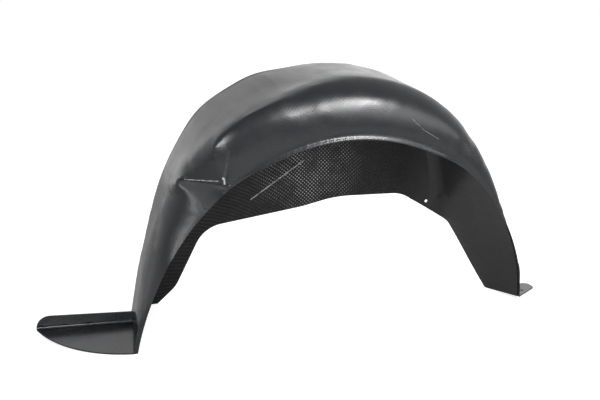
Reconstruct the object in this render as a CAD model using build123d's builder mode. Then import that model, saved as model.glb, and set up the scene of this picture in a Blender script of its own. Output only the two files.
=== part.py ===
import os
from math import cos, hypot, radians, sin, tan

from build123d import *

# Sheet and main sizes, in mm. X runs along the car, Y inwards from the wheel
# opening, Z up. The liner is formed round the axle line, which is Y through
# X = 0 and Z = 0, and is then set on the middle of its footprint.
sheet = 2.5
opening_radius = 350
liner_depth = 200
core_radius = 120
core_step = 25
far_bend = 30
bend_pull = 0.6
strip_angle = 4

# Crown round the axle line, from the front foot to the rear foot: how far its edges at
# the opening and at the inner wall stand over the opening radius, and how far the bend
# at the opening reaches into crown and near wall
station_angles = (0, 14, 27, 38, 48, 58, 70, 82, 92, 99, 106, 113, 121, 130, 140, 151, 163, 172, 180)
near_rises = (3, 4, 4.5, 22, 47, 70, 86.5, 95, 96, 91, 86, 86, 82, 67, 55, 43, 37, 36, 40)
far_rises = (-82, -75, -51, -14, 27, 62, 87, 96, 98, 98, 105, 100, 93, 67.5, 42, 18, 7, 7, 13)
crown_sets = (4, 5, 9, 24, 40, 48, 52, 52, 46, 34, 22, 18, 18, 30, 50, 56, 46, 26, 6)
wall_sets = (3, 4, 8, 20, 34, 56, 73, 81, 82, 76, 66, 60, 56, 52, 50, 40, 28, 16, 5)

# Stepped lip round the wheel opening, which dies out towards both ends
lip_out = 3
lip_drop = 6
lip_least = 0.3
lip_flat = 3
lip_run = 4
lip_cut = 6
lip_start_angle = 51
lip_end_angle = 127
lip_fade_angle = 14

# Rear leg: straight ramp, ledge and the scoop below the ledge
ramp_start = 225
ramp_angle = 38
ledge_height = 286
ledge_out = 296
scoop_foot = 234.5
scoop_depth = 13
scoop_rise = 0.45
rear_rim_mid = (-344, 112)
rear_rim_foot = (-382.5, 0)
rim_draft = 8

# Sloped panel of the inner wall, above a crease
crease_foot = (-205, 143)
crease_angle = 33
panel_lean = 8

# Trimmed edge of the inner wall, from the front foot to the rear foot
trim_front_foot = (318, 0)
trim_front_corner = (275, 113)
trim_front_top = (183, 172.5)
trim_crest = (46, 179)
trim_step = (-27, 165)
trim_rear_top = (-218, 143)
trim_rear_bend = (-276, 31)
trim_rear_foot = (-312, 0)
trim_bends = (15, 70, 250, 60, 62, 60)
trim_from = 60

# Front foot and its screw tab
foot_lift = 6.5
foot_run = 73
tab_reach = 50
tab_width = 67
tab_near = 3
tab_slant = 35
tab_bend = 11
tab_hole = 6.5
tab_hole_out = 18
tab_hole_in = 28

# Rear tray against the bumper corner
tray_length = 150
tray_depth = 112
tray_bow = 27
tray_rise = 4
tray_sweep = 7
tray_flange = 24
tray_fall = 5
tray_bend = 4
tray_tip = 24
tray_inset = 10

# Screw hole in the inner wall
wall_hole = 6.5
wall_hole_at = (239.5, 149.5)


stations = [
    (angle, opening_radius + near_rise, opening_radius + far_rise, crown_set, wall_set)
    for angle, near_rise, far_rise, crown_set, wall_set in zip(
        station_angles, near_rises, far_rises, crown_sets, wall_sets
    )
]


def slope(index, column):
    """Change of one column per degree at a driving station, from its neighbours."""
    before, after = stations[max(index - 1, 0)], stations[min(index + 1, len(stations) - 1)]
    return (after[column] - before[column]) / (after[0] - before[0])


def station_at(angle):
    """Row for any angle, on smooth curves through the driving stations."""
    index = sum(row[0] <= angle for row in stations[1:-1])
    low, high = stations[index], stations[index + 1]
    span = high[0] - low[0]
    t = (angle - low[0]) / span
    ease = t * t * (3 - 2 * t)
    row = [angle]
    for column in range(1, len(low)):
        leave = span * slope(index, column) * t * (1 - t) ** 2
        arrive = span * slope(index + 1, column) * t * t * (1 - t)
        row.append(low[column] + (high[column] - low[column]) * ease + leave - arrive)
    return row


def radial(angle):
    """Plane through the axle line at one angle, its x outwards and its y along the axle."""
    across = (cos(radians(angle)), 0, sin(radians(angle)))
    along = (-sin(radians(angle)), 0, cos(radians(angle)))
    return Plane((0, 0, 0), x_dir=across, z_dir=along)


def rounded(start, corner, end):
    """Bend that leaves start and reaches end along the two faces of a corner."""
    start, corner, end = Vector(*start), Vector(*corner), Vector(*end)
    return Bezier(start, start + (corner - start) * bend_pull, end + (corner - end) * bend_pull, end)


def section(row, inset):
    """Section of the form at one angle, or of its hollow, one sheet inside."""
    angle, near, far, crown_set, wall_set = row
    taper = (near - far) / liner_depth
    length = hypot(1, taper)
    low = core_radius - core_step * inset / sheet
    deep = liner_depth - inset
    near_edge = near - taper * inset - inset * length
    far_edge = near - taper * deep - inset * length
    wall_end = (near_edge - wall_set + inset, inset)
    crown_start = (near_edge - (crown_set - inset) * taper / length, inset + (crown_set - inset) / length)
    crown_end = (far_edge + (far_bend - inset) * taper / length, deep - (far_bend - inset) / length)
    far_end = (far_edge - far_bend + inset, deep)
    with BuildSketch(radial(angle)) as cut:
        with BuildLine():
            Line((low, inset), wall_end)
            rounded(wall_end, (near_edge, inset), crown_start)
            Line(crown_start, crown_end)
            rounded(crown_end, (far_edge, deep), far_end)
            Polyline(far_end, (low, deep), (low, inset))
        make_face()
    return cut.sketch


def form(inset):
    """The formed block, or its hollow, with ramp, scoop and sloped panel."""
    ramp_out = Vector(-sin(radians(ramp_angle)), -cos(radians(ramp_angle)), 0)
    ramp_at = Vector(-ramp_start, 0, ledge_height + inset) - ramp_out * inset
    ledge_in = (ledge_out - ramp_start) * tan(radians(ramp_angle))
    foot_in = scoop_depth + (scoop_foot - ramp_start) * tan(radians(ramp_angle))
    scoop_fall = (ledge_in - foot_in) / (ledge_out - scoop_foot)
    scoop_out = Vector(-scoop_fall, -1, scoop_rise).normalized()
    scoop_at = Vector(-ledge_out, ledge_in, ledge_height) - scoop_out * inset
    lean, turn = radians(panel_lean), radians(crease_angle)
    angles = [strip_angle * i for i in range(int(stations[-1][0] / strip_angle) + 1)]
    panel_out = Vector(-sin(turn) * sin(lean), cos(lean), cos(turn) * sin(lean))
    panel_at = Vector(crease_foot[0], liner_depth, crease_foot[1]) - panel_out * inset
    with BuildPart() as block:
        loft(sections=[section(station_at(angle), inset) for angle in angles], ruled=True)
        with BuildSketch(Plane(ramp_at, x_dir=(0, 0, 1), z_dir=ramp_out)):
            Rectangle(opening_radius, opening_radius, align=(Align.MIN, Align.CENTER))
        extrude(amount=liner_depth, mode=Mode.SUBTRACT)
        with BuildPart(Plane((-opening_radius, 0, ledge_height + inset)), mode=Mode.SUBTRACT):
            Box(opening_radius, liner_depth, opening_radius, align=(Align.CENTER, Align.CENTER, Align.MAX))
            split(bisect_by=Plane(scoop_at, z_dir=scoop_out), keep=Keep.TOP)
        with BuildSketch(Plane(panel_at, x_dir=(cos(turn), 0, sin(turn)), z_dir=panel_out)):
            Rectangle(4 * opening_radius, 4 * opening_radius)
        extrude(amount=liner_depth, mode=Mode.SUBTRACT)
    return block.part


def tray():
    """Bumper-corner tray: a floor with an upstanding flange along its back."""
    foot = stations[-1][1]
    rise, sweep = radians(tray_rise), radians(tray_sweep)
    run = tray_length / cos(sweep) + 2 * tray_inset
    along = Vector(-cos(sweep), sin(sweep), 0)
    across = Vector(sin(sweep), cos(sweep), 0)
    height = tray_depth * sin(rise) + sheet * cos(rise)
    root = Vector(-foot, tray_depth, height) - along * 2 * tray_inset
    with BuildPart() as part:
        with BuildSketch(Plane(root, x_dir=-across, z_dir=along)):
            with BuildLine():
                FilletPolyline(
                    (0, 2 * tray_flange),
                    (0, 0),
                    (2 * tray_depth * cos(rise), -2 * tray_depth * sin(rise)),
                    radius=tray_bend,
                )
                offset(amount=sheet, side=Side.RIGHT, closed=True)
            make_face()
        extrude(amount=run + tray_flange)
        with BuildSketch():
            with BuildLine():
                tip = (-foot - tray_length, tray_depth + tray_length * tan(sweep))
                SagittaArc((-foot, 0), tip, tray_bow)
                Polyline(
                    tip,
                    (tip[0] - tray_flange, tip[1]),
                    (tip[0] - tray_flange, 2 * tray_depth),
                    (0, 2 * tray_depth),
                    (0, 0),
                    (-foot, 0),
                )
            make_face()
        extrude(amount=4 * tray_flange, mode=Mode.INTERSECT)
        with BuildSketch(Plane(root - across * 2 * tray_depth, x_dir=along, z_dir=across)) as side:
            with BuildLine():
                Polyline(
                    (-tray_flange, -tray_flange),
                    (-tray_flange, tray_flange - tray_fall),
                    (run, tray_flange),
                    (run, -tray_flange),
                    close=True,
                )
            make_face()
            fillet(side.vertices().sort_by_distance((run, tray_flange))[0], tray_tip)
        extrude(amount=4 * tray_depth, mode=Mode.INTERSECT)
    return part.part


def tab():
    """Screw tab turned out from the foot of the front leg."""
    foot = stations[0][1]
    with BuildPart() as part:
        with BuildSketch(Plane((0, 0, foot_lift), x_dir=(1, 0, 0), z_dir=(0, foot_lift, foot_run))) as flat:
            with BuildLine():
                Polyline(
                    (foot - tab_width, tab_near),
                    (foot, tab_near),
                    (foot + tab_reach, tab_near + tab_slant),
                    (foot + tab_reach, tab_width),
                    (foot - tab_width, tab_width),
                    close=True,
                )
            make_face()
            fillet(flat.vertices().group_by(Axis.X)[-1], tab_bend)
            with Locations((foot + tab_hole_out, tab_hole_in)):
                Circle(tab_hole / 2, mode=Mode.SUBTRACT)
        extrude(amount=sheet)
    return part.part


def lip_section(angle):
    """Section of the lip at one angle: the near wall steps outwards, then runs down to the opening."""
    fade = min(angle - lip_start_angle, lip_end_angle - angle, lip_fade_angle) / lip_fade_angle
    share = fade * fade * (3 - 2 * fade)
    out = lip_least + (lip_out - lip_least) * share
    edge = opening_radius - lip_drop * share
    top = opening_radius + lip_run + 2 * lip_flat
    outer = [(edge, -out), (edge + lip_flat, -out), (edge + lip_flat + lip_run, 0), (top, 0)]
    inner = [(out_from_axle, along + sheet) for out_from_axle, along in reversed(outer)]
    with BuildSketch(radial(angle)) as cut:
        with BuildLine():
            Polyline(*outer, *inner, close=True)
        make_face()
    return cut.sketch


def lip():
    """Stepped lip of the wheel opening, and the part of the near wall that it takes the place of."""
    strips = round((lip_end_angle - lip_start_angle) / strip_angle)
    turn = (lip_end_angle - lip_start_angle) / strips
    with BuildPart() as ring:
        loft(sections=[lip_section(lip_start_angle + turn * i) for i in range(strips + 1)], ruled=True)
    with BuildPart() as room:
        with BuildSketch(radial(lip_start_angle)):
            with Locations((opening_radius - lip_cut, 0)):
                wide = lip_cut + lip_flat + lip_run + lip_flat / 2
                Rectangle(wide, 2 * lip_cut, align=(Align.MIN, Align.CENTER))
        revolve(axis=Axis((0, 0, 0), (0, -1, 0)), revolution_arc=lip_end_angle - lip_start_angle)
    return ring.part, room.part


ring, lip_room = lip()

with BuildPart() as block:
    add(form(0))
    with BuildSketch(Plane.YZ):
        Polygon(
            (-foot_run, 2 * foot_lift),
            (foot_run, 0),
            (foot_run, -foot_run),
            (-foot_run, -foot_run),
            align=None,
        )
    extrude(amount=2 * opening_radius, mode=Mode.SUBTRACT)

with BuildPart() as liner:
    add(block.part)
    add(tab())
    add(tray())
    add(form(sheet), mode=Mode.SUBTRACT)

    # Wheel opening, down to the front foot and along the set-back rear leg
    with BuildSketch(Plane.XZ.offset(lip_cut)):
        Circle(opening_radius)
    extrude(amount=-2 * lip_cut, mode=Mode.SUBTRACT)
    with BuildSketch(Plane.XZ.offset(lip_cut)):
        with BuildLine():
            turn = radians(lip_end_angle)
            top = (opening_radius * cos(turn), opening_radius * sin(turn))
            ThreePointArc(top, rear_rim_mid, rear_rim_foot)
            Polyline(rear_rim_foot, (rear_rim_foot[0], -foot_run), (0, -foot_run), (0, top[1]), top)
        make_face()
    extrude(amount=-trim_from, taper=rim_draft, mode=Mode.SUBTRACT)

    # Trimmed edge of the inner wall and of both legs
    with BuildSketch(Plane.XZ.offset(-trim_from)):
        with BuildLine():
            FilletPolyline(
                trim_front_foot,
                trim_front_corner,
                trim_front_top,
                trim_crest,
                trim_step,
                trim_rear_top,
                trim_rear_bend,
                trim_rear_foot,
                radius=trim_bends,
            )
            Polyline(
                trim_rear_foot,
                (trim_rear_foot[0], -foot_run),
                (trim_front_foot[0], -foot_run),
                trim_front_foot,
            )
        make_face()
    extrude(amount=-2 * liner_depth, mode=Mode.SUBTRACT)

    # Screw hole beside the front leg
    with BuildSketch(Plane.XZ.offset(-trim_from)):
        with Locations(wall_hole_at):
            Circle(wall_hole / 2)
    extrude(amount=-2 * liner_depth, mode=Mode.SUBTRACT)

    # Stepped lip in place of the wall beside the opening
    add(lip_room, mode=Mode.SUBTRACT)
    add(ring)

# The middle of the footprint becomes the origin, with the feet at Z = 0
front_reach = stations[0][1] + tab_reach
rear_reach = stations[-1][1] + tray_length
with BuildPart() as wheel_arch_liner:
    with Locations(((rear_reach - front_reach) / 2, (lip_out - liner_depth) / 2)):
        add(liner.part)

os.makedirs("parts", exist_ok=True)
wheel_arch_liner.part.label = "wheel_arch_liner"
export_step(wheel_arch_liner.part, "parts/wheel_arch_liner.step")
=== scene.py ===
import math

import bmesh
import bpy
import numpy as np
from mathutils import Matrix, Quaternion, Vector, noise


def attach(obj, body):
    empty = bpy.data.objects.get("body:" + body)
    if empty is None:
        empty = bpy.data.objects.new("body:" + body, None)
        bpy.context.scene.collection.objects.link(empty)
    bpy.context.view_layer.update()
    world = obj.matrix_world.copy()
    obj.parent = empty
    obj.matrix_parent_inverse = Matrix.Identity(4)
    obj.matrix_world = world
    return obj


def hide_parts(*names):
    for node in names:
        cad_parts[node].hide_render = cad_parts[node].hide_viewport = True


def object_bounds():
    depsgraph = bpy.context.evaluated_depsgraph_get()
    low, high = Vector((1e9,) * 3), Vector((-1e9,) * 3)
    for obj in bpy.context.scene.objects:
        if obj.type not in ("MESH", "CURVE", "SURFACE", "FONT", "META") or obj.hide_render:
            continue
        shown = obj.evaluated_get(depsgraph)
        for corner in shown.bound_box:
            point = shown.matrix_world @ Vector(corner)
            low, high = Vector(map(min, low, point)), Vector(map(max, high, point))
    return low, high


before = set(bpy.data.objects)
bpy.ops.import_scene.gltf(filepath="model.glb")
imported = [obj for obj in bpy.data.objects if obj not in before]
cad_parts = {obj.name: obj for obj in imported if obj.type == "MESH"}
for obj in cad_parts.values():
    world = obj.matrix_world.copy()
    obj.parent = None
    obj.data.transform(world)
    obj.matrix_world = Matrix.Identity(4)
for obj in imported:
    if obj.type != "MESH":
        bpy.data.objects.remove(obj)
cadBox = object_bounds()
print("frame loaded, CAD box", cadBox)


def hexColour(text):
    # sRGB hex to the linear values that shaders take
    parts = [int(text[i:i + 2], 16) / 255 for i in (1, 3, 5)]
    return tuple(c / 12.92 if c <= 0.04045 else ((c + 0.055) / 1.055) ** 2.4 for c in parts) + (1,)


def addNode(tree, kind, settings=None, links=None):
    # one node, its settings and what feeds it: a socket of another node or a plain value
    node = tree.nodes.new(kind)
    for name, value in (settings or {}).items():
        setattr(node, name, value)
    for socket, source in (links or {}).items():
        if isinstance(source, bpy.types.NodeSocket):
            tree.links.new(source, node.inputs[socket])
        else:
            node.inputs[socket].default_value = source
    return node


def newMaterial(name):
    material = bpy.data.materials.new(name)
    material.use_nodes = True
    material.node_tree.nodes.clear()
    return material, material.node_tree


# The liner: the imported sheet, refined so that its bends run smooth

liner = {
    "node": "wheel_arch_liner",
    "weld": 4e-4,  # m, joins the loose triangles and takes out the smallest
    "longestEdge": 0.009,  # m, after refining
    "lipEdge": 0.0035,  # m, the same on the lip
    "foldAngle": 24,  # degrees, sharper edges of the ledge, tray and tab keep their place
    "cutAngle": 62,  # degrees, sharper edges are trimmed edges of the sheet
    "foldReach": 0.386,  # m from the axle line, the rear bend's own folds lie beyond
    "even": (0.75, -0.757),  # in, then out again, so that only the strips' kinks go
    "softPasses": 600,  # of these two, over the whole sheet
    "edgeEven": (0.5, -0.52),
    "edgePasses": 120,  # of these two, along its long edges and folds
    "pull": (0.5,),  # inwards alone, on the lip and in the soft bends
    "edgeTurn": 26,  # degrees, what turns more is a corner
    "edgeReach": 0.34,  # m from the axle line, the edges within keep their corners
    "lipPasses": 22,
    "bendPasses": 90,
    "crown": (0.3, 0.365),  # up to this x, beyond this distance from the axle line, points may slide
    "axle": (0.0685, -0.04, 0.0),  # a point on the axle line, under the crown
    "lip": (-0.094, 0.362, 0.2),  # y, distance from the axle line and height that bound the lip
    "rearFoot": (-0.322, -0.295, 0.045),  # x of the tray's end, then x and height of its flange's end
    "trayOut": (-0.6, -0.5, 1),  # where the tray's smooth side looks
    "frontFoot": 0.421,  # m, the tab lies beyond this x
    "crease": {  # in the inner wall
        "foot": (-0.1365, 0.143),  # x and z
        "angle": 33,  # degrees above +X
        "length": 0.2,
        "halfWidth": 0.004,
        "inner": 0.07,  # beyond this y
    },
    "ledge": (0.286, 0.006, -0.04),  # height, half width and y that bound the ledge of the rear leg
    "rearBend": {  # the soft bend along the rear leg
        "rear": -0.13,  # behind this x
        "inner": 0.06,  # nearer than this y
        "low": 0.05,  # above this height
        "far": 0.354,  # beyond this distance from the axle line
        "room": 0.02,  # it fades in over this
        "core": 0.2,  # folds with a larger share are soft
    },
    "bendShare": (0.04, 0.05),  # above the ledge, and m below it where the full share is reached
    "nearBend": {  # the bend over the wheel opening
        "start": (-0.13, 0.03),  # x, and the room in which it fades in
        "end": (0.24, 0.06),
        "near": (-0.05, 0.02),  # y
        "far": (0.36, 0.02),  # distance from the axle line
        "low": (0.2, 0.05),  # height
        "share": 0.35,
    },
    "waveSize": 0.07,  # m, the formed sheet is not quite even
    "waveDepth": 0.0008,  # m
    "waveEdge": -0.03,  # m, the waves fade out towards the near bend from this y
    "dent": ((-0.03, -0.02, 0.43), 0.042, 0.003),  # middle, reach and depth of the shallow dent in the crown
    "wallFacing": 0.75,  # the inner wall's faces look along y by at least this
    "grainRadius": 0.36,  # m, from the axle line, where the bumps have their true spacing
    "rowBow": 0.6,  # m, the bumps' rows sag by x squared over this on the inner wall
}


def onTray(place):
    # true on the tray, its flange and the foot of the rear leg
    beyond, end, height = liner["rearFoot"]
    return place.x < beyond or (place.x < end and place.z < height)


def outwardOf(face):
    # how far a face looks away from the wheel: over 0 on the smooth side of the sheet
    middle = face.calc_center_median()
    if onTray(middle):
        return face.normal.dot(Vector(liner["trayOut"]))
    if middle.x > liner["frontFoot"]:
        return face.normal.z
    return face.normal.dot(middle - Vector(liner["axle"]))


def onCrease(place):
    # true beside the shallow crease that runs up the inner wall
    crease = liner["crease"]
    turn = math.radians(crease["angle"])
    right, up = place.x - crease["foot"][0], place.z - crease["foot"][1]
    along = right * math.cos(turn) + up * math.sin(turn)
    aside = up * math.cos(turn) - right * math.sin(turn)
    return place.y > crease["inner"] and 0 < along < crease["length"] and abs(aside) < crease["halfWidth"]


def fromAxle(place):
    return math.hypot(place.x - liner["axle"][0], place.z)


def ramp(value, room):
    # 0 below 0, 1 beyond room, smooth between
    t = min(max(value / room, 0), 1)
    return t * t * (3 - 2 * t)


def rearBend(place):
    # over 0 on the bend between the crown and the near wall, along the rear leg
    bend = liner["rearBend"]
    room = bend["room"]
    return (ramp(bend["rear"] - place.x, 2 * room) * ramp(bend["inner"] - place.y, room)
            * ramp(place.z - bend["low"], room) * ramp(fromAxle(place) - bend["far"], room / 2))


def bendShare(place):
    # the rear bend is tight above the ledge and wide below it, the bend over the opening lies between
    least, room = liner["bendShare"]
    rear = rearBend(place) * (least + (1 - least) * ramp(liner["ledge"][0] - place.z, room))
    (start, startRoom), (end, endRoom) = liner["nearBend"]["start"], liner["nearBend"]["end"]
    (near, nearRoom), (far, farRoom) = liner["nearBend"]["near"], liner["nearBend"]["far"]
    low, lowRoom = liner["nearBend"]["low"]
    over = ramp(place.x - start, startRoom) * ramp(end - place.x, endRoom) * ramp(near - place.y, nearRoom)
    over = liner["nearBend"]["share"] * over * ramp(fromAxle(place) - far, farRoom)
    return max(rear, over * ramp(place.z - low, lowRoom))


def onLedge(place):
    height, room, inner = liner["ledge"]
    return place.x < liner["rearBend"]["rear"] and abs(place.z - height) < room and place.y < inner


def onLip(place):
    inner, far, low = liner["lip"]
    return place.y < inner and fromAxle(place) < far and place.z > low


def refined(places, faces):
    # halves the long edges of a triangle mesh until none is left
    while True:
        middles = {}

        def middle(a, b):
            key = (a, b) if a < b else (b, a)
            limit = "lipEdge" if onLip(places[a]) and onLip(places[b]) else "longestEdge"
            if (places[a] - places[b]).length < liner[limit]:
                return None
            if key not in middles:
                middles[key] = len(places)
                places.append((places[a] + places[b]) / 2)
            return middles[key]

        parts = []
        for a, b, c in faces:
            ab, bc, ca = middle(a, b), middle(b, c), middle(c, a)
            for turn in range(3):  # brings the face round so that an uncut edge comes last
                if ca is None:
                    break
                a, b, c, ab, bc, ca = b, c, a, bc, ca, ab
            if ca is not None:
                parts += [(a, ab, ca), (ab, b, bc), (ca, bc, c), (ab, bc, ca)]
            elif ab is not None and bc is not None:
                if (places[ab] - places[c]).length < (places[a] - places[bc]).length:
                    parts += [(ab, b, bc), (ab, bc, c), (a, ab, c)]
                else:
                    parts += [(ab, b, bc), (a, ab, bc), (a, bc, c)]
            elif ab is not None:
                parts += [(a, ab, c), (ab, b, c)]
            elif bc is not None:
                parts += [(a, b, bc), (a, bc, c)]
            else:
                parts.append((a, b, c))
        faces = parts
        if not middles:
            return places, faces


def soften(bm, share, passes, factors, slide):
    # moves points towards their neighbours' middle, each by its share,
    # and along their normals alone unless they may slide
    bm.verts.index_update()
    places = np.array([v.co for v in bm.verts])
    normals = np.array([v.normal for v in bm.verts])
    share = np.array([share(v) for v in bm.verts], dtype=float)[:, None]
    near = [[v.index for v in e.verts] for e in bm.edges if any(share[v.index] > 0 for v in e.verts)]
    one, two = np.array(near).T
    size = len(places)
    count = np.maximum(np.bincount(one, minlength=size) + np.bincount(two, minlength=size), 1)
    for factor in factors * passes:
        pull = np.empty_like(places)
        for axis in range(3):
            along = places[:, axis]
            total = np.bincount(one, along[two], size) + np.bincount(two, along[one], size)
            pull[:, axis] = total / count - along
        if not slide:
            pull = np.sum(pull * normals, axis=1)[:, None] * normals
        places += factor * share * pull
    for vert, place in zip(bm.verts, places):
        vert.co = place
    bm.normal_update()


def softenEdges(bm, sharp, passes, factors):
    # evens the run of sharp edges, from corner to corner
    bm.verts.index_update()
    places = np.array([v.co for v in bm.verts])
    beside = {}
    for edge in sharp:
        one, two = edge.verts
        beside.setdefault(one.index, []).append(two.index)
        beside.setdefault(two.index, []).append(one.index)
    runs = []
    for at, near in beside.items():
        place = Vector(places[at])
        foot = onTray(place) or place.x >= liner["frontFoot"]
        if len(near) != 2 or foot or fromAxle(place) <= liner["edgeReach"]:
            continue
        turn = Vector(places[at] - places[near[0]]).angle(Vector(places[near[1]] - places[at]), 1)
        if turn < math.radians(liner["edgeTurn"]):
            runs.append((at, *near))
    at, one, two = np.array(runs).T
    for factor in factors * passes:
        places[at] += factor * ((places[one] + places[two]) / 2 - places[at])
    for vert, place in zip(bm.verts, places):
        vert.co = place
    bm.normal_update()


def layGrain(face, layer):
    # coordinates in metres along the sheet, on which the rows of bumps run
    axle = liner["axle"]
    inner = abs(face.normal.y) > liner["wallFacing"] and face.calc_center_median().y > 0
    for loop in face.loops:
        x, y, z = loop.vert.co
        x -= axle[0]
        round_ = math.atan2(z, x) * liner["grainRadius"]
        if inner:
            loop[layer].uv = (x, z + x * x / liner["rowBow"])
        else:
            loop[layer].uv = (round_, y + math.hypot(x, z))


def makeLiner():
    bm = bmesh.new()
    bm.from_mesh(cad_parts[liner["node"]].data)
    bmesh.ops.remove_doubles(bm, verts=bm.verts, dist=liner["weld"])
    bmesh.ops.dissolve_degenerate(bm, dist=liner["weld"] / 2, edges=bm.edges)
    bmesh.ops.triangulate(bm, faces=bm.faces)
    bm.verts.index_update()
    print("welded", len(bm.verts), "verts", len(bm.faces), "faces")
    triangles = [[v.index for v in f.verts] for f in bm.faces]
    places, faces = refined([v.co.copy() for v in bm.verts], triangles)
    bm.clear()
    verts = [bm.verts.new(p) for p in places]
    for corners in faces:
        bm.faces.new([verts[i] for i in corners])
    bm.normal_update()
    print("refined", len(bm.verts), "verts", len(bm.faces), "faces")
    foldAngle, cutAngle = math.radians(liner["foldAngle"]), math.radians(liner["cutAngle"])
    kept = {v for v in bm.verts if onCrease(v.co)}
    for edge in bm.edges:
        angle = edge.calc_face_angle(0)
        middle = (edge.verts[0].co + edge.verts[1].co) / 2
        soft = rearBend(middle) > liner["rearBend"]["core"] and fromAxle(middle) > liner["foldReach"]
        edge.smooth = angle < cutAngle or soft
        outer = onTray(middle) or middle.x > liner["frontFoot"] or onLedge(middle)
        if not edge.smooth or (outer and angle > foldAngle):
            kept.update(edge.verts)
    free = {v for v in bm.verts if v not in kept}
    lip = {v for v in free if onLip(v.co)}
    softenEdges(bm, [e for e in bm.edges if not e.smooth], liner["edgePasses"], liner["edgeEven"])
    end, far = liner["crown"]
    crown = {v for v in free - lip if v.co.x < end and fromAxle(v.co) > far and not onTray(v.co)}
    others = free - lip - crown
    soften(bm, lambda v: v in crown, liner["softPasses"], liner["even"], True)
    soften(bm, lambda v: v in others, liner["softPasses"], liner["even"], False)
    soften(bm, lambda v: v in lip, liner["lipPasses"], liner["pull"], False)
    soften(bm, lambda v: bendShare(v.co) if v in free else 0, liner["bendPasses"], liner["pull"], True)
    print("softened", len(crown), "verts of the crown,", len(others), "others,", len(lip), "of the lip")
    middle, reach, depth = liner["dent"]
    for vert in free:
        wave = noise.noise(vert.co / liner["waveSize"])
        lift = wave * liner["waveDepth"] * ramp(vert.co.y - liner["waveEdge"], -liner["waveEdge"])
        lift -= depth * math.exp(-((vert.co - Vector(middle)).length / reach) ** 2)
        vert.co += Vector((vert.co.x - liner["axle"][0], 0, vert.co.z)).normalized() * lift
    for vert in bm.verts:  # nothing stands out of the CAD box
        vert.co = [min(max(c, low), high) for c, low, high in zip(vert.co, *cadBox)]
    bm.normal_update()
    grain = bm.loops.layers.uv.new("grain")
    for face in bm.faces:
        face.smooth = True
        face.material_index = 0 if outwardOf(face) > 0 else 1
        layGrain(face, grain)
    mesh = bpy.data.meshes.new("formedSheet")
    bm.to_mesh(mesh)
    bm.free()
    piece = bpy.data.objects.new("formed_sheet", mesh)
    bpy.context.scene.collection.objects.link(piece)
    return piece


# Materials

def bumpHeight(tree):
    # staggered rows of low domes, 7.5 mm apart both ways: cells of 5.3 mm, turned by 45 degrees
    where = addNode(tree, "ShaderNodeUVMap", {"uv_map": "grain"})
    turned = addNode(tree, "ShaderNodeMapping", links={
        "Vector": where.outputs[0], "Rotation": (0, 0, math.radians(45)),
    })
    domes = addNode(tree, "ShaderNodeTexVoronoi", {"voronoi_dimensions": "2D"}, {
        "Vector": turned.outputs[0], "Scale": 189.0, "Randomness": 0.0,
    })
    return addNode(tree, "ShaderNodeMapRange", {"interpolation_type": "SMOOTHSTEP"}, {
        "Value": domes.outputs["Distance"], "From Min": 0.05, "From Max": 0.38, "To Min": 1.0, "To Max": 0.0,
    }).outputs[0]


marks = {  # from, to, half width in m, how pale
    # a pale broken line painted along the ledge's edge
    "ledgeLine": ((-0.213, -0.047, 0.2874), (-0.164, -0.093, 0.291), 0.0014, 0.75),
    # painted highlights: a bright spot at the ridge's foot and a faint line along the ridge
    "ridgeFootHighlight": ((-0.1552, -0.0975, 0.296), (-0.155, -0.098, 0.287), 0.0022, 0.7),
    "ridgeHighlight": ((-0.146, -0.096, 0.343), (-0.1552, -0.0975, 0.293), 0.0034, 0.035),
    "scratchHigh": ((0.182, -0.096, 0.373), (0.205, -0.0975, 0.3505), 0.0008, 0.25),
    "scratchLow": ((0.205, -0.0975, 0.3505), (0.233, -0.098, 0.333), 0.0008, 0.25),
    # painted glint along the crease in the inner wall
    "creaseGlint": ((-0.058, 0.099, 0.189), (0.048, 0.099, 0.257), 0.0016, 0.8),
}


def markMask(tree, where, name):
    # a thin broken line between two points of the surface
    start, end, width, pale = marks[name]
    squeeze = Vector((1, 0.1, 1))  # so that a line keeps to a surface that bulges between its ends
    start, run = Vector(start) * squeeze, (Vector(end) - Vector(start)) * squeeze
    course = run.normalized()
    beside = addNode(tree, "ShaderNodeVectorMath", {"operation": "MULTIPLY"}, {0: where, 1: squeeze})
    away = addNode(tree, "ShaderNodeVectorMath", {"operation": "SUBTRACT"}, {0: beside.outputs[0], 1: start})
    along = addNode(tree, "ShaderNodeVectorMath", {"operation": "DOT_PRODUCT"}, {0: away.outputs[0], 1: course})
    held = addNode(tree, "ShaderNodeClamp", links={
        "Value": along.outputs["Value"], "Min": 0.0, "Max": run.length,
    })
    foot = addNode(tree, "ShaderNodeVectorMath", {"operation": "SCALE"}, {0: course, "Scale": held.outputs[0]})
    aside = addNode(tree, "ShaderNodeVectorMath", {"operation": "DISTANCE"}, {
        0: away.outputs[0], 1: foot.outputs[0],
    })
    line = addNode(tree, "ShaderNodeMapRange", {"interpolation_type": "SMOOTHSTEP"}, {
        "Value": aside.outputs["Value"], "From Min": width * 0.15, "From Max": width, "To Min": pale, "To Max": 0.0,
    })
    breaks = addNode(tree, "ShaderNodeTexNoise", links={"Vector": where, "Scale": 160.0, "Detail": 1.0})  # 6 mm
    shown = addNode(tree, "ShaderNodeMapRange", links={
        "Value": breaks.outputs[0], "From Min": 0.34, "From Max": 0.56, "To Min": 0.25, "To Max": 1.0,
    })
    broken = addNode(tree, "ShaderNodeMath", {"operation": "MULTIPLY"}, {0: line.outputs[0], 1: shown.outputs[0]})
    return broken.outputs[0]


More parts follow.
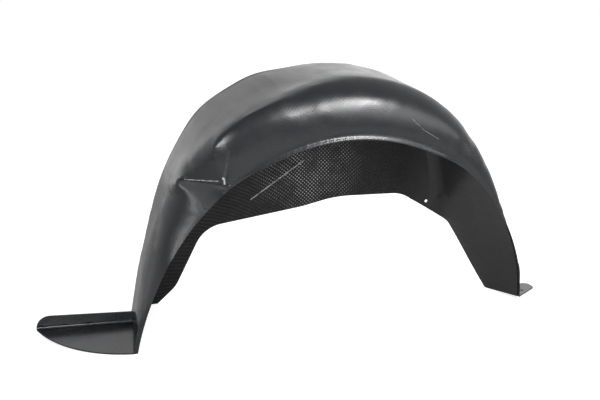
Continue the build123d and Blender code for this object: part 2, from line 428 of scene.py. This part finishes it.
def smoothHdpe():
    # black high-density polyethylene, the side that lay against the vacuum mould: a waxy half gloss,
    # with the other side's bumps faintly printed through, a pale broken line along the ledge, two pale scratches
    # and painted highlights along the ridge and at its foot
    material, tree = newMaterial("blackHdpeSmooth")
    where = addNode(tree, "ShaderNodeTexCoord").outputs["Object"]
    marksAndHighlights = None
    for name in ("ledgeLine", "ridgeFootHighlight", "ridgeHighlight", "scratchHigh", "scratchLow"):
        mask = markMask(tree, where, name)
        if marksAndHighlights is not None:
            mask = addNode(tree, "ShaderNodeMath", {"operation": "MAXIMUM"}, {0: marksAndHighlights, 1: mask}).outputs[0]
        marksAndHighlights = mask
    # the pale ledge line, the scratches and the ridge's painted highlights, mixed into the base colour
    colour = addNode(tree, "ShaderNodeMix", {"data_type": "RGBA"}, {
        "Factor": marksAndHighlights, 6: hexColour("#17191D"), 7: hexColour("#D4D4D8"),
    })
    smudges = addNode(tree, "ShaderNodeTexNoise", links={"Vector": where, "Scale": 28.0, "Detail": 4.0})  # 36 mm
    gloss = addNode(tree, "ShaderNodeMapRange", links={
        "Value": smudges.outputs[0], "From Min": 0.3, "From Max": 0.7, "To Min": 0.2, "To Max": 0.29,
    })
    bump = addNode(tree, "ShaderNodeBump", links={
        "Height": bumpHeight(tree), "Strength": 1.0, "Distance": 0.00004,  # 0.04 mm
    })
    shader = addNode(tree, "ShaderNodeBsdfPrincipled", links={
        "Base Color": colour.outputs[2], "Roughness": gloss.outputs[0], "IOR": 1.54, "Normal": bump.outputs[0],
    })
    addNode(tree, "ShaderNodeOutputMaterial", links={"Surface": shader.outputs[0]})
    return material


def grainedHdpe():
    # the same sheet's embossed side, towards the tyre: rows of small bumps that catch the light, with painted
    # glints on the bumps in the middle of the inner wall and along its crease, pressed flat and painted lighter on
    # the front leg, a painted reflection
    material, tree = newMaterial("blackHdpeGrained")
    where = addNode(tree, "ShaderNodeTexCoord").outputs["Object"]
    height = bumpHeight(tree)
    apart = addNode(tree, "ShaderNodeSeparateXYZ", links={0: where})
    flat = addNode(tree, "ShaderNodeMapRange", {"interpolation_type": "SMOOTHSTEP"}, {
        "Value": apart.outputs["X"], "From Min": 0.24, "From Max": 0.31, "To Min": 1.0, "To Max": 0.08,
    })
    raised = addNode(tree, "ShaderNodeMath", {"operation": "MULTIPLY"}, {0: height, 1: flat.outputs[0]})
    bump = addNode(tree, "ShaderNodeBump", links={
        "Height": raised.outputs[0], "Strength": 1.0, "Distance": 0.0009,  # 0.9 mm
    })
    # painted glints: the raised bumps are coloured pale around the middle of the inner wall, in uneven patches
    reach = addNode(tree, "ShaderNodeVectorMath", {"operation": "DISTANCE"}, {0: where, 1: (0.06, 0.1, 0.25)})
    glintZone = addNode(tree, "ShaderNodeMapRange", {"interpolation_type": "SMOOTHSTEP"}, {
        "Value": reach.outputs["Value"], "From Min": 0.03, "From Max": 0.13, "To Min": 1.0, "To Max": 0.1,
    })
    patches = addNode(tree, "ShaderNodeTexNoise", links={"Vector": where, "Scale": 45.0, "Detail": 2.0})  # 22 mm
    uneven = addNode(tree, "ShaderNodeMapRange", links={
        "Value": patches.outputs[0], "From Min": 0.35, "From Max": 0.65, "To Min": 0.3, "To Max": 1.0,
    })
    glintPatches = addNode(tree, "ShaderNodeMath", {"operation": "MULTIPLY"}, {0: glintZone.outputs[0], 1: uneven.outputs[0]})
    paintedGlints = addNode(tree, "ShaderNodeMath", {"operation": "MULTIPLY"}, {0: glintPatches.outputs[0], 1: raised.outputs[0]})
    # pale carries the painted glints on the bumps and the crease's painted glint
    pale = addNode(tree, "ShaderNodeMath", {"operation": "MAXIMUM"}, {
        0: paintedGlints.outputs[0], 1: markMask(tree, where, "creaseGlint"),
    })
    # painted reflection: the front leg's colour is lighter than the inner wall's, standing in for the floor it
    # reflects
    ground = addNode(tree, "ShaderNodeMix", {"data_type": "RGBA"}, {
        "Factor": flat.outputs[0], 6: hexColour("#343435"), 7: hexColour("#0B0B0C"),
    })
    colour = addNode(tree, "ShaderNodeMix", {"data_type": "RGBA"}, {
        "Factor": pale.outputs[0], 6: ground.outputs[2], 7: hexColour("#B2B2B0"),
    })
    shader = addNode(tree, "ShaderNodeBsdfPrincipled", links={
        "Base Color": colour.outputs[2], "Roughness": 0.3, "IOR": 1.5, "Specular IOR Level": 0.3,
        "Normal": bump.outputs[0],
    })
    addNode(tree, "ShaderNodeOutputMaterial", links={"Surface": shader.outputs[0]})
    return material


piece = makeLiner()
piece.data.materials.append(smoothHdpe())
piece.data.materials.append(grainedHdpe())
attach(piece, "root")
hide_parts(liner["node"])
print("liner done")


# Studio: white floor, white surroundings, soft lamps

studio = {
    "floorSize": 6.0,  # m
    "floorColour": "#CFCFCF",
    "floorGlow": 0.75,  # what it takes to look white, as the photo's ground does
    "worldLevel": 0.9,
    "worldLean": (0.15, 0.45, -0.25),  # the surroundings are lighter behind and below
    "lamps": {  # place, aim, width and height in m, W, degrees of roll
        "rightSoftbox": ((0.82, -1.77, 1.14), (0.05, -0.09, 0.41), (0.86, 0.34), 25, 38),
        "rightPanel": ((1.3, -1.55, 0.75), (0.1, -0.09, 0.35), (1.5, 0.5), 5, 12),
        "leftSoftbox": ((-0.86, -1.87, 0.75), (-0.15, -0.09, 0.355), (0.5, 0.3), 10, 0),
        "recessSoftbox": ((-1.64, -1.09, 0.86), (-0.195, -0.08, 0.25), (0.22, 0.22), 2.3, 0),
    },
    "camera": (-0.5261, -1.6452, 0.7744),
    "aim": (-0.0235, -0.0985, 0.246),
    "lens": 60,  # mm, on a 36 mm sensor
}


def makeFloor():
    bm = bmesh.new()
    bmesh.ops.create_grid(bm, x_segments=1, y_segments=1, size=studio["floorSize"] / 2)
    mesh = bpy.data.meshes.new("floor")
    bm.to_mesh(mesh)
    bm.free()
    floor = bpy.data.objects.new("floor", mesh)
    bpy.context.scene.collection.objects.link(floor)
    material, tree = newMaterial("whitePaper")
    path = addNode(tree, "ShaderNodeLightPath")
    paper = addNode(tree, "ShaderNodeBsdfDiffuse", links={"Color": hexColour(studio["floorColour"])})
    seen = addNode(tree, "ShaderNodeMath", {"operation": "MAXIMUM"}, {
        0: path.outputs["Is Camera Ray"], 1: path.outputs["Is Transmission Ray"],
    })
    level = addNode(tree, "ShaderNodeMath", {"operation": "MULTIPLY"}, {0: seen.outputs[0], 1: studio["floorGlow"]})
    glow = addNode(tree, "ShaderNodeEmission", links={"Strength": level.outputs[0]})
    both = addNode(tree, "ShaderNodeAddShader", links={0: paper.outputs[0], 1: glow.outputs[0]})
    addNode(tree, "ShaderNodeOutputMaterial", links={"Surface": both.outputs[0]})
    mesh.materials.append(material)


def addLamp(name):
    place, aim, size, power, roll = studio["lamps"][name]
    data = bpy.data.lights.new(name, "AREA")
    data.shape = "RECTANGLE"
    data.size, data.size_y = size
    data.energy = power
    lamp = bpy.data.objects.new(name, data)
    lamp.location = place
    turn = (Vector(aim) - Vector(place)).to_track_quat("-Z", "Y") @ Quaternion((0, 0, 1), math.radians(roll))
    lamp.rotation_euler = turn.to_euler()
    bpy.context.scene.collection.objects.link(lamp)
    lamp.visible_camera = False


def makeWorld():
    world = bpy.data.worlds.new("surroundings")
    bpy.context.scene.world = world
    world.use_nodes = True
    tree = world.node_tree
    tree.nodes.clear()
    path = addNode(tree, "ShaderNodeLightPath")
    where = addNode(tree, "ShaderNodeTexCoord")
    lean = addNode(tree, "ShaderNodeVectorMath", {"operation": "DOT_PRODUCT"}, {
        0: where.outputs["Generated"], 1: studio["worldLean"],
    })
    level = addNode(tree, "ShaderNodeMath", {"operation": "ADD"}, {
        0: lean.outputs["Value"], 1: studio["worldLevel"],
    })
    dim = addNode(tree, "ShaderNodeBackground", links={"Color": (1, 1, 1, 1), "Strength": level.outputs[0]})
    white = addNode(tree, "ShaderNodeBackground", links={"Color": (1, 1, 1, 1), "Strength": 1.0})
    both = addNode(tree, "ShaderNodeMixShader", links={
        0: path.outputs["Is Camera Ray"], 1: dim.outputs[0], 2: white.outputs[0],
    })
    addNode(tree, "ShaderNodeOutputWorld", links={"Surface": both.outputs[0]})


def makeCamera():
    data = bpy.data.cameras.new("camera")
    data.lens = studio["lens"]
    camera = bpy.data.objects.new("camera", data)
    camera.location = studio["camera"]
    turn = Vector(studio["aim"]) - Vector(studio["camera"])
    camera.rotation_euler = turn.to_track_quat("-Z", "Y").to_euler()
    bpy.context.scene.collection.objects.link(camera)
    bpy.context.scene.camera = camera


makeFloor()
makeWorld()
for lampName in studio["lamps"]:
    addLamp(lampName)
makeCamera()
bpy.context.scene.view_settings.view_transform = "Standard"
print("studio done")
